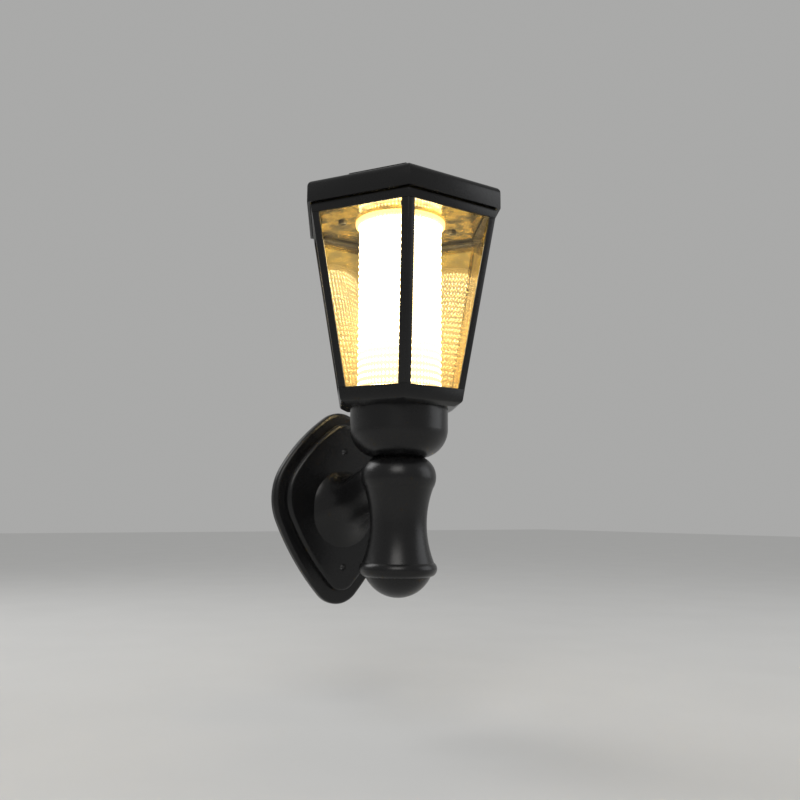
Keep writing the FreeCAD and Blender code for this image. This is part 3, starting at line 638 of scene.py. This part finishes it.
class Form:
    """A mesh that is shaped with edit-mode operators."""

    def __init__(self, thing: bpy.types.Object) -> None:
        """Takes an object as the form and makes it the only one selected.

        Args:
            thing: The mesh object.
        """
        self.thing = thing
        self.activate()

    def activate(self) -> None:
        """Selects this object alone."""
        bpy.ops.object.select_all(action="DESELECT")
        self.thing.select_set(True)
        bpy.context.view_layer.objects.active = self.thing

    @classmethod
    def circle(cls, name: str, sides: int, radius: float, centre: Vector) -> "Form":
        """Starts from a circle primitive.

        Args:
            name: The object's name.
            sides: Number of vertices.
            radius: Radius in metres.
            centre: Place in the row frame.

        Returns:
            The form.
        """
        bpy.ops.object.select_all(action="DESELECT")
        bpy.ops.mesh.primitive_circle_add(vertices=sides, radius=radius, location=centre)
        return cls._named(name)

    @classmethod
    def cylinder(cls, name: str, sides: int, radius: float, low: Vector, height: float) -> "Form":
        """Starts from an upright cylinder primitive.

        Args:
            name: The object's name.
            sides: Number of sides.
            radius: Radius in metres.
            low: The middle of its foot.
            height: Its height.

        Returns:
            The form.
        """
        bpy.ops.object.select_all(action="DESELECT")
        middle = low + Vector((0.0, 0.0, height / 2.0))
        bpy.ops.mesh.primitive_cylinder_add(vertices=sides, radius=radius, depth=height, location=middle)
        return cls._named(name)

    @classmethod
    def box(cls, name: str, size: Vector, centre: Vector) -> "Form":
        """Starts from a box primitive.

        Args:
            name: The object's name.
            size: Its three sides in metres.
            centre: Its middle.

        Returns:
            The form.
        """
        bpy.ops.object.select_all(action="DESELECT")
        bpy.ops.mesh.primitive_cube_add(size=1.0, location=centre, scale=size)
        return cls._named(name)

    @classmethod
    def _named(cls, name: str) -> "Form":
        """Names the primitive just added and moves its place into its mesh.

        Args:
            name: The object's name.

        Returns:
            The form.
        """
        thing = bpy.context.view_layer.objects.active
        thing.name = name
        thing.data.name = name
        bpy.ops.object.transform_apply(location=True, rotation=True, scale=True)
        return cls(thing)

    @classmethod
    def from_node(cls, name: str, node: str) -> "Form":
        """Starts from a merged copy of a CAD node's mesh.

        Args:
            name: The new object's name.
            node: The CAD node.

        Returns:
            The form, with its flat faces whole.
        """
        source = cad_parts[node]
        mesh = source.data.copy()
        mesh.name = name
        mesh.materials.clear()
        thing = bpy.data.objects.new(name, mesh)
        bpy.context.scene.collection.objects.link(thing)
        form = cls(thing)
        form.edit()
        bpy.ops.mesh.select_all(action="SELECT")
        if mesh.has_custom_normals:
            bpy.ops.mesh.customdata_custom_splitnormals_clear()
        bpy.ops.mesh.remove_doubles(threshold=WHOLE_POINT)
        bpy.ops.mesh.dissolve_limited(angle_limit=math.radians(WHOLE_FACE))
        form.leave()
        return form

    def edit(self) -> None:
        """Enters edit mode, in which vertices are picked."""
        self.activate()
        bpy.ops.object.mode_set(mode="EDIT")
        bpy.ops.mesh.select_mode(type=Element.VERTEX.value)

    def leave(self) -> None:
        """Leaves edit mode."""
        bpy.ops.object.mode_set(mode="OBJECT")

    def pick(self, element: Element, test: Callable[[Vector], bool]) -> int:
        """Selects the elements whose centre passes a test, in edit mode.

        Args:
            element: What to select.
            test: Takes a centre in metres.

        Returns:
            How many were selected.
        """
        bpy.ops.mesh.select_mode(type=element.value)
        bpy.ops.mesh.select_all(action="DESELECT")
        mesh = bmesh.from_edit_mesh(self.thing.data)
        count = 0
        groups = {Element.VERTEX: mesh.verts, Element.EDGE: mesh.edges, Element.FACE: mesh.faces}
        for item in groups[element]:
            corners = [item] if element is Element.VERTEX else list(item.verts)
            centre = sum((corner.co for corner in corners), Vector()) / len(corners)
            if test(centre):
                item.select_set(True)
                count += 1
        mesh.select_flush_mode()
        bmesh.update_edit_mesh(self.thing.data)
        return count

    def raise_loop(self, rise: float, scale: float, centre: Vector) -> None:
        """Extrudes the selected loop upwards and scales the new loop about an upright axis.

        Args:
            rise: How far up.
            scale: The scale across.
            centre: A point of the axis.
        """
        bpy.ops.mesh.extrude_region_move(TRANSFORM_OT_translate={"value": (0.0, 0.0, rise)})
        bpy.ops.transform.resize(value=(scale, scale, 1.0), center_override=centre)

    def modify(self, kind: str, **settings: object) -> None:
        """Adds a modifier and applies it.

        Args:
            kind: The modifier's type.
            settings: Its settings by name.
        """
        self.activate()
        modifier = self.thing.modifiers.new(kind.lower(), kind)
        for key, value in settings.items():
            setattr(modifier, key, value)
        bpy.ops.object.modifier_apply(modifier=modifier.name)

    def outward(self) -> None:
        """Merges doubles and turns all faces outwards."""
        self.edit()
        bpy.ops.mesh.select_all(action="SELECT")
        bpy.ops.mesh.remove_doubles(threshold=TINY)
        bpy.ops.mesh.normals_make_consistent(inside=False)
        self.leave()

    def smooth(self, degrees: float = SMOOTH_EDGE) -> None:
        """Smooths the shading across edges up to an angle in degrees."""
        self.activate()
        bpy.ops.object.shade_smooth_by_angle(angle=math.radians(degrees))

    def bevel(self, width: float, segments: int = 2) -> None:
        """Rounds every sharp edge.

        Args:
            width: Width of the rounding in metres.
            segments: Steps across it.
        """
        self.modify(
            "BEVEL", width=width, segments=segments, limit_method="ANGLE",
            angle_limit=math.radians(SHARP_EDGE), harden_normals=False, use_clamp_overlap=True,
        )

    def cut(self, tool: "Form") -> None:
        """Cuts another form out of this one.

        Args:
            tool: The form that is cut out, and then removed.
        """
        self.modify("BOOLEAN", object=tool.thing, operation="DIFFERENCE", solver="EXACT")
        mesh = tool.thing.data
        bpy.data.objects.remove(tool.thing)
        bpy.data.meshes.remove(mesh)

    def copy(self, name: str, place: Matrix) -> "Form":
        """Copies the form with its own mesh.

        Args:
            name: The copy's name.
            place: How the copy's mesh is turned and moved.

        Returns:
            The copy.
        """
        mesh = self.thing.data.copy()
        mesh.name = name
        mesh.transform(place)
        thing = bpy.data.objects.new(name, mesh)
        bpy.context.scene.collection.objects.link(thing)
        return Form(thing)

    def join(self, others: Sequence["Form"]) -> None:
        """Joins other forms into this one.

        Args:
            others: The forms, which are used up.
        """
        self.activate()
        for other in others:
            other.thing.select_set(True)
        bpy.ops.object.join()


@dataclass(frozen=True)
class PanScrew:
    """A pan-head screw with a cross recess; its head bears at the origin and its shank points up.

    The point is a share of the shank, and the dome and the recess are shares of the head.
    """

    head_radius: float
    head_height: float
    shank_radius: float
    shank_length: float
    sides: int = 32
    point_share: float = 0.15
    point_scale: float = 0.55
    dome_share: float = 0.45
    dome_steps: int = 4
    recess_length: float = 0.55
    recess_width: float = 0.28
    recess_depth: float = 0.6

    def form(self, name: str) -> Form:
        """Models the screw.

        Args:
            name: The object's name.

        Returns:
            The screw, around the origin.
        """
        foot = Vector((0.0, 0.0, -self.head_height))
        form = Form.cylinder(name, self.sides, self.head_radius, foot, self.head_height)
        form.edit()
        form.pick(Element.FACE, lambda c: c.z > -TINY)
        bpy.ops.mesh.inset(thickness=self.head_radius - self.shank_radius)
        tip = Vector((0.0, 0.0, self.shank_length))
        form.raise_loop(self.shank_length * (1.0 - self.point_share), 1.0, tip)
        form.raise_loop(self.shank_length * self.point_share, self.point_scale, tip)
        form.pick(Element.EDGE, lambda c: c.z < foot.z + TINY)
        bpy.ops.mesh.bevel(offset=self.head_height * self.dome_share, segments=self.dome_steps, profile=0.5)
        form.leave()
        length = self.head_radius * self.recess_length * 2.0
        width = self.head_radius * self.recess_width
        height = self.head_height * self.recess_depth * 2.0
        for size in ((length, width, height), (width, length, height)):
            form.cut(Form.box("recess", Vector(size), foot))
        return form


@dataclass
class Workshop:
    """What every sub-assembly needs: the finishes, and how a finished piece joins the frame."""

    finishes: dict[Slot, bpy.types.Material]

    def dress_node(self, node: str, slot: Slot) -> None:
        """Gives a CAD node that stays visible its finish.

        Args:
            node: The CAD node.
            slot: Its finish.
        """
        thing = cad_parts[node]
        material = self.finishes[slot]
        if not thing.material_slots:
            thing.data.materials.append(material)
        for held in thing.material_slots:
            held.material = material
        LOG.info("node %s dressed as %s", node, slot.value)

    def place(self, form: Form, body: str, slot: Slot, nodes: Iterable[str]) -> None:
        """Dresses a finished piece, rides it on a body and lets it stand for CAD nodes.

        Args:
            form: The finished piece.
            body: The CAD body it moves with.
            slot: Its finish.
            nodes: The CAD nodes it stands for.
        """
        thing = form.thing
        thing.data.materials.clear()
        thing.data.materials.append(self.finishes[slot])
        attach(thing, body)
        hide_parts(*nodes)
        LOG.info("piece %s: %d faces, on %s", thing.name, len(thing.data.polygons), body)

    def rounded(self, node: str, body: str, slot: Slot, width: float, segments: int = 2) -> None:
        """Replaces a sharp-edged CAD node by a copy with small rounded edges.

        Args:
            node: The CAD node.
            body: The body it belongs to.
            slot: Its finish.
            width: Width of the rounding in metres.
            segments: Steps across the rounding.
        """
        form = Form.from_node(f"{node}_rounded", node)
        form.bevel(width, segments)
        form.smooth()
        self.place(form, body, slot, [node])

    def screws(self, node: str, body: str, pattern: PanScrew, places: Sequence[Matrix]) -> None:
        """Replaces a CAD node of screws by modelled ones.

        Args:
            node: The CAD node.
            body: The body it belongs to.
            pattern: The screw.
            places: Where each screw stands.
        """
        master = pattern.form("screw_pattern")
        first, *rest = [master.copy(f"{node}_modelled_{k}", place) for k, place in enumerate(places)]
        first.join(rest)
        first.smooth()
        bpy.data.objects.remove(master.thing)
        self.place(first, body, Slot.STEEL, [node])


# ---- sub-assemblies ------------------------------------------------------------------------------


@dataclass
class Cage:
    """Base pan, corner bars, panes, ring and gasket."""

    sides: int = 6
    bar_edge: float = 0.0005
    pan_edge: float = 0.0008
    ring_edge: float = 0.0003
    fold_steps: int = 3
    body: str = "lantern"

    def build(self, shop: Workshop) -> None:
        """Rounds the coated pieces and dresses the panes and the gasket.

        Args:
            shop: The workshop that holds the finishes.
        """
        for index in range(1, self.sides + 1):
            shop.rounded(
                f"corner_bar_{index}", self.body, Slot.BLACK_COAT, self.bar_edge, self.fold_steps
            )
            shop.dress_node(f"pane_{index}", Slot.CLEAR_PANE)
        shop.rounded("base_pan", self.body, Slot.BLACK_COAT, self.pan_edge, self.fold_steps)
        shop.rounded("top_ring", self.body, Slot.BLACK_COAT, self.ring_edge)
        shop.dress_node("head_gasket", Slot.GASKET)


@dataclass
class Support:
    """Bowl, post, arm, finial, wall plate and what holds them together."""

    body: str = "lantern"
    fastener_edge: float = 0.00025
    coated: tuple[str, ...] = ("bowl", "bracket_arm", "finial", "wall_plate")
    fasteners: tuple[str, ...] = ("tie_rod", "rod_washer", "rod_nut")
    arm_screw: PanScrew = field(default_factory=lambda: PanScrew(0.0046, 0.0025, 0.00245, 0.0110))
    arm_screw_seat: float = -0.0090
    arm_screw_heights: tuple[float, ...] = (0.011, -0.011)

    def build(self, shop: Workshop) -> None:
        """Dresses the castings, rounds the fasteners and models the arm's screws.

        Args:
            shop: The workshop that holds the finishes.
        """
        for node in self.coated:
            shop.dress_node(node, Slot.BLACK_COAT)
        for node in self.fasteners:
            shop.rounded(node, self.body, Slot.STEEL, self.fastener_edge)
        forward = Matrix.Rotation(math.radians(90.0), 4, "X")
        seats = (Vector((0.0, self.arm_screw_seat, height)) for height in self.arm_screw_heights)
        places = [Matrix.Translation(seat) @ forward for seat in seats]
        shop.screws("arm_screws", self.body, self.arm_screw, places)


@dataclass
class SolarHead:
    """Roof, panel, ceiling plate and the parts above it."""

    body: str = "solar_head"
    roof_edge: float = 0.0004
    inner_edge: float = 0.00024
    panel_edge: float = 0.000135
    ceiling_level: float = 0.2149
    panel_top: float = 0.2447
    bezel: float = 0.0018
    glass_drop: float = 0.0003
    screw_circle: float = 0.044
    screw_angles: tuple[float, ...] = (150.0, -10.0, 240.0)
    ceiling_screw: PanScrew = field(default_factory=lambda: PanScrew(0.0032, 0.0018, 0.00145, 0.0080))
    inner: tuple[tuple[str, Slot], ...] = (
        ("led_board", Slot.BOARD), ("led_lamps", Slot.LAMP),
        ("battery_holder", Slot.BLACK_PLASTIC), ("battery_cells", Slot.CELL_WRAP),
        ("circuit_board", Slot.BOARD), ("switch_body", Slot.BLACK_PLASTIC),
    )

    def build(self, shop: Workshop) -> None:
        """Rounds the roof and what it covers, and models the panel and the screws.

        Args:
            shop: The workshop that holds the finishes.
        """
        shop.rounded("roof_shell", self.body, Slot.BLACK_COAT, self.roof_edge)
        shop.dress_node("ceiling_plate", Slot.CEILING)
        for node, slot in self.inner:
            shop.rounded(node, self.body, slot, self.inner_edge)
        shop.dress_node("switch_slider", Slot.WHITE_PLASTIC)
        places = []
        for angle in (math.radians(a) for a in self.screw_angles):
            out = Vector((math.cos(angle), math.sin(angle), 0.0)) * self.screw_circle
            places.append(Matrix.Translation(Vector((0.0, AXIS_Y, self.ceiling_level)) + out))
        shop.screws("ceiling_screws", self.body, self.ceiling_screw, places)
        self.panel(shop)

    def panel(self, shop: Workshop) -> None:
        """Models the panel: a raised bezel round a lowered glass, with rounded edges.

        Args:
            shop: The workshop that holds the finishes.
        """
        form = Form.from_node("solar_panel_framed", "solar_panel")
        form.edit()
        form.pick(Element.FACE, lambda c: c.z > self.panel_top - TINY)
        bpy.ops.mesh.inset(thickness=self.bezel)
        bpy.ops.mesh.extrude_region_move(TRANSFORM_OT_translate={"value": (0.0, 0.0, -self.glass_drop)})
        form.leave()
        form.bevel(self.panel_edge)
        form.smooth()
        shop.place(form, self.body, Slot.SOLAR_CELL, ["solar_panel"])


@dataclass
class PrismTube:
    """The ribbed light tube: a grid of pillow prisms under a rounded flange."""

    body: str = "solar_head"
    radius: float = 0.0310
    flange_radius: float = 0.0339
    top: float = 0.2149
    ring_count: int = 24
    ring_depth: float = 0.0008
    flute_depth: float = 0.0008
    flute_points: int = 3
    wall: float = 0.0020
    smooth_angle: float = 50.0
    ring_profile: tuple[tuple[float, float], ...] = (
        (0.12, 0.35), (0.30, 0.9), (0.50, 1.0), (0.70, 0.9), (0.88, 0.35),
    )
    flange_profile: tuple[tuple[float, float], ...] = (
        (0.06, -0.25), (0.32, -0.25), (0.38, 0.15), (0.48, 0.62), (0.58, 0.90), (0.66, 1.0),
        (0.78, 1.0), (0.82, 0.84), (0.86, 0.84), (0.90, 1.0), (1.0, 1.0),
    )

    def centre(self, height: float) -> Vector:
        """The axis point at a height."""
        return Vector((0.0, AXIS_Y, height))

    def ring(self) -> Form:
        """Models one ring of prisms: a circle raised through a pillow profile.

        Returns:
            The lowest ring.
        """
        low = self.radius - self.ring_depth
        points = TUBE_FLUTES * self.flute_points
        form = Form.circle("prism_tube", points, low, self.centre(TUBE_FOOT))
        form.edit()
        bpy.ops.mesh.select_all(action="SELECT")
        at, radius = 0.0, low
        for place, bulge in (*self.ring_profile, (1.0, 0.0)):
            target = low + self.ring_depth * bulge
            form.raise_loop((place - at) * TUBE_RING_PITCH, target / radius, self.centre(TUBE_FOOT))
            at, radius = place, target
        form.leave()
        return form

    def build(self, shop: Workshop) -> None:
        """Stacks the rings, sinks the flutes, adds the flange and gives the wall its thickness.

        Args:
            shop: The workshop that holds the finishes.
        """
        form = self.ring()
        form.modify(
            "ARRAY", count=self.ring_count, use_relative_offset=False, use_constant_offset=True,
            constant_offset_displace=(0.0, 0.0, TUBE_RING_PITCH), use_merge_vertices=True,
            merge_threshold=TINY,
        )
        form.edit()
        form.pick(Element.VERTEX, self.in_groove)
        shrink = (self.radius - self.flute_depth) / self.radius
        bpy.ops.transform.resize(value=(shrink, shrink, 1.0), center_override=self.centre(TUBE_FOOT))
        head = TUBE_FOOT + TUBE_RING_PITCH * self.ring_count
        form.pick(Element.EDGE, lambda c: c.z > head - TINY)
        rise, low = self.top - head, self.radius - self.ring_depth
        at, radius = 0.0, low
        for place, bulge in self.flange_profile:
            target = self.radius + (self.flange_radius - self.radius) * bulge
            form.raise_loop((place - at) * rise, target / radius, self.centre(head))
            at, radius = place, target
        form.leave()
        form.outward()
        form.modify("SOLIDIFY", thickness=self.wall, offset=-1.0)
        form.smooth(self.smooth_angle)
        shop.place(form, self.body, Slot.PRISM, ["light_tube"])

    def in_groove(self, place: Vector) -> bool:
        """Tells a point in the groove between two flutes from the points on them."""
        flutes_round = math.atan2(place.y - AXIS_Y, place.x) / (2.0 * math.pi / TUBE_FLUTES)
        return abs(flutes_round - round(flutes_round)) < 0.5 / self.flute_points


# ---- studio --------------------------------------------------------------------------------------


@dataclass(frozen=True)
class SoftLamp:
    """A square soft lamp: its place, its side in metres, its power in watts and its colour."""

    name: str
    place: tuple[float, float, float]
    side: float
    power: float
    colour: tuple[float, float, float]

    def hang(self, target: Vector) -> None:
        """Hangs the lamp and aims it.

        Args:
            target: The point that it faces.
        """
        data = bpy.data.lights.new(self.name, "AREA")
        data.size = self.side
        data.energy = self.power
        data.color = self.colour
        lamp = bpy.data.objects.new(self.name, data)
        lamp.location = self.place
        lamp.rotation_euler = (target - Vector(self.place)).to_track_quat("-Z", "Y").to_euler()
        bpy.context.scene.collection.objects.link(lamp)


@dataclass
class Studio:
    """Pale floor, soft light and the camera at the photograph's angle."""

    eye: tuple[float, float, float] = (-0.3443, -0.5977, -0.0024)
    heading: float = 34.2
    pitch: float = 7.652
    roll: float = 0.402
    lens: float = 37.67
    floor_level: float = -0.17
    floor_size: float = 12.0
    paper: Colour = (0.60, 0.60, 0.59, 1.0)
    paper_cloud: Colour = (0.64, 0.64, 0.63, 1.0)
    backdrop: Colour = (0.40, 0.40, 0.395, 1.0)
    light_level: float = 0.55
    aim_height: float = 0.08
    lamps: tuple[SoftLamp, ...] = (
        SoftLamp("key", (-0.9, -1.2, 1.1), 0.9, 9.0, (1.0, 0.98, 0.95)),
        SoftLamp("fill", (1.3, -0.8, 0.5), 1.0, 4.0, (0.95, 0.97, 1.0)),
        SoftLamp("rim", (-0.6, 0.9, 0.9), 0.7, 5.0, (1.0, 1.0, 1.0)),
    )

    def build(self) -> None:
        """Builds floor, light and camera."""
        self.floor()
        self.world()
        for lamp in self.lamps:
            lamp.hang(Vector((0.0, AXIS_Y, self.aim_height)))
        self.camera()

    def camera(self) -> None:
        """Sets the camera from the solved eye point and angles."""
        data = bpy.data.cameras.new("camera")
        data.lens = self.lens
        data.sensor_width = 36.0
        data.clip_start = 0.01
        camera = bpy.data.objects.new("camera", data)
        bpy.context.scene.collection.objects.link(camera)
        heading, pitch, roll = (math.radians(a) for a in (self.heading, self.pitch, self.roll))
        ahead = Vector(
            (math.sin(heading) * math.cos(pitch), math.cos(heading) * math.cos(pitch), math.sin(pitch))
        )
        right = Vector((math.cos(heading), -math.sin(heading), 0.0))
        up = right.cross(ahead)
        level_right = right * math.cos(roll) + up * math.sin(roll)
        level_up = up * math.cos(roll) - right * math.sin(roll)
        axes = Matrix((level_right, level_up, -ahead)).transposed().to_4x4()
        camera.matrix_world = Matrix.Translation(Vector(self.eye)) @ axes
        bpy.context.scene.camera = camera

    def floor(self) -> None:
        """A wide pale floor below the lantern."""
        bpy.ops.object.select_all(action="DESELECT")
        bpy.ops.mesh.primitive_plane_add(size=self.floor_size, location=(0.0, 0.0, self.floor_level))
        floor = bpy.context.view_layer.objects.active
        floor.name = "floor"
        tree = Tree.material("floor_paper")
        tone = tree.noise(9.0, 3.0)
        colour = tree.mix(tone, self.paper, self.paper_cloud)
        floor.data.materials.append(
            tree.output(tree.principled(Base_Color=colour, Roughness=0.9, Specular_IOR_Level=0.0))
        )

    def world(self) -> None:
        """Even white light; the camera, glass and metal see the pale backdrop."""
        world = bpy.data.worlds.new("studio")
        bpy.context.scene.world = world
        tree = Tree(world)
        light = tree.wire("ShaderNodeBackground", None, {0: WHITE, 1: self.light_level})
        seen = tree.wire("ShaderNodeBackground", None, {0: self.backdrop})
        path = tree.node("ShaderNodeLightPath")
        camera, glossy, through = (
            Wire(tree, path.outputs[f"Is {kind} Ray"]) for kind in ("Camera", "Glossy", "Transmission")
        )
        factor = camera.maths("MAXIMUM", glossy).maths("MAXIMUM", through)
        tree.output(tree.blend(factor, light, seen))


def main() -> None:
    """Builds the classes in order."""
    logging.basicConfig(level=logging.INFO, format="%(name)s: %(message)s")
    bpy.context.scene.view_settings.view_transform = "Standard"
    shop = Workshop(make_finishes())
    Cage().build(shop)
    Support().build(shop)
    SolarHead().build(shop)
    PrismTube().build(shop)
    Studio().build()


if __name__ == "__main__":
    main()
